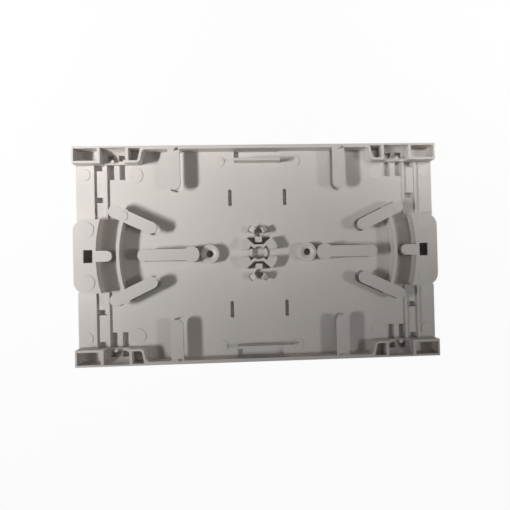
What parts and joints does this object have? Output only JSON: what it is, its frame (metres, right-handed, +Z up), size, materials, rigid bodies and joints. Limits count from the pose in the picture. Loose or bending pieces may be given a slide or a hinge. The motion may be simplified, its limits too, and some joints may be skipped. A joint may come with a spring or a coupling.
{
  "type": "fibre splice tray",
  "caption": "Shallow rectangular tray with long side walls, curved guide walls, flat retaining tabs, end lugs and a central hub, for storing spliced optical fibre.",
  "frame": {"origin": "on the surface the tray stands on, under the middle of the tray", "axes": "+X along the tray's length, +Y across it, +Z up out of the open side"},
  "size_m": [0.177, 0.105, 0.011],
  "materials": {
    "tray_plastic": "light warm grey, fine matt moulding"
  },
  "bodies": {
    "root": {"splice_tray": "tray_plastic"}
  },
  "joints": []
}
